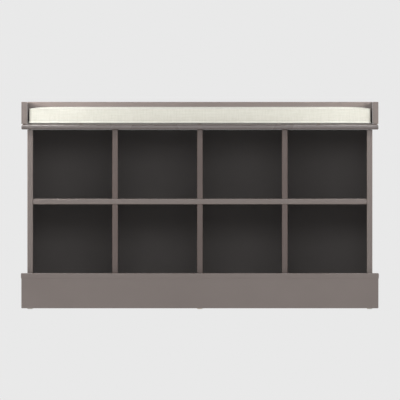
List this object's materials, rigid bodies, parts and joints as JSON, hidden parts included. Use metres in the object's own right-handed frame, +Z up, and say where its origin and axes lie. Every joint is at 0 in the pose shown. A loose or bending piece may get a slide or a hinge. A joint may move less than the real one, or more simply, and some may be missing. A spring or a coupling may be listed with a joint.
{
  "type": "cubby storage bench",
  "caption": "Low storage bench: rows of open cubbies on a moulded plinth, a railed tray top and a loose seat cushion that lifts out.",
  "frame": {"origin": "middle of the footprint, on the floor under the glides", "axes": "+X to the right along the bench seen from the front, +Y to the back (the open cubbies face -Y), +Z up"},
  "size_m": [0.9164, 0.3712, 0.5303],
  "materials": {
    "taupe_lacquer": "satin",
    "taupe_hardboard": "matte",
    "seat_cloth": "matte",
    "raw_wood": "matte",
    "zinc_alloy": "satin",
    "plated_steel": "satin",
    "white_nylon": "matte"
  },
  "bodies": {
    "bench": {"side_panel_left": "taupe_lacquer", "glide_left_front": "white_nylon", "glide_left_rear": "white_nylon", "side_panel_right": "taupe_lacquer", "glide_right_front": "white_nylon", "glide_right_rear": "white_nylon", "bottom_shelf": "taupe_lacquer", "middle_shelf": "taupe_lacquer", "lower_divider_1": "taupe_lacquer", "upper_divider_1": "taupe_lacquer", "lower_divider_2": "taupe_lacquer", "upper_divider_2": "taupe_lacquer", "lower_divider_3": "taupe_lacquer", "upper_divider_3": "taupe_lacquer", "back_panel": "taupe_hardboard", "left_rail_dowel_1": "raw_wood", "left_rail_dowel_2": "raw_wood", "right_rail_dowel_1": "raw_wood", "right_rail_dowel_2": "raw_wood", "back_rail_dowel_1": "raw_wood", "back_rail_dowel_2": "raw_wood", "back_rail_dowel_3": "raw_wood", "top_board": "taupe_lacquer", "seat_rail_left": "taupe_lacquer", "seat_rail_right": "taupe_lacquer", "seat_rail_back": "taupe_lacquer", "plinth_front": "taupe_lacquer", "plinth_left": "taupe_lacquer", "plinth_right": "taupe_lacquer", "plinth_rear_rail": "taupe_lacquer", "centre_brace": "taupe_lacquer", "glide_centre_front": "white_nylon", "glide_centre_rear": "white_nylon", "corner_block_left": "raw_wood", "corner_block_right": "raw_wood", "bottom_shelf_left_front_bolt": "plated_steel", "bottom_shelf_left_front_cam": "zinc_alloy", "middle_shelf_left_front_bolt": "plated_steel", "middle_shelf_left_front_cam": "zinc_alloy", "top_board_left_front_bolt": "plated_steel", "top_board_left_front_cam": "zinc_alloy", "bottom_shelf_left_rear_bolt": "plated_steel", "bottom_shelf_left_rear_cam": "zinc_alloy", "middle_shelf_left_rear_bolt": "plated_steel", "middle_shelf_left_rear_cam": "zinc_alloy", "top_board_left_rear_bolt": "plated_steel", "top_board_left_rear_cam": "zinc_alloy", "bottom_shelf_right_front_bolt": "plated_steel", "bottom_shelf_right_front_cam": "zinc_alloy", "middle_shelf_right_front_bolt": "plated_steel", "middle_shelf_right_front_cam": "zinc_alloy", "top_board_right_front_bolt": "plated_steel", "top_board_right_front_cam": "zinc_alloy", "bottom_shelf_right_rear_bolt": "plated_steel", "bottom_shelf_right_rear_cam": "zinc_alloy", "middle_shelf_right_rear_bolt": "plated_steel", "middle_shelf_right_rear_cam": "zinc_alloy", "top_board_right_rear_bolt": "plated_steel", "top_board_right_rear_cam": "zinc_alloy"},
    "cushion": {"cushion": "seat_cloth"}
  },
  "joints": [
    {"name": "cushion_lift", "type": "slide", "parent": "bench", "child": "cushion", "axis": [0, 0, 1], "range_m": [0, 0.12]}
  ]
}
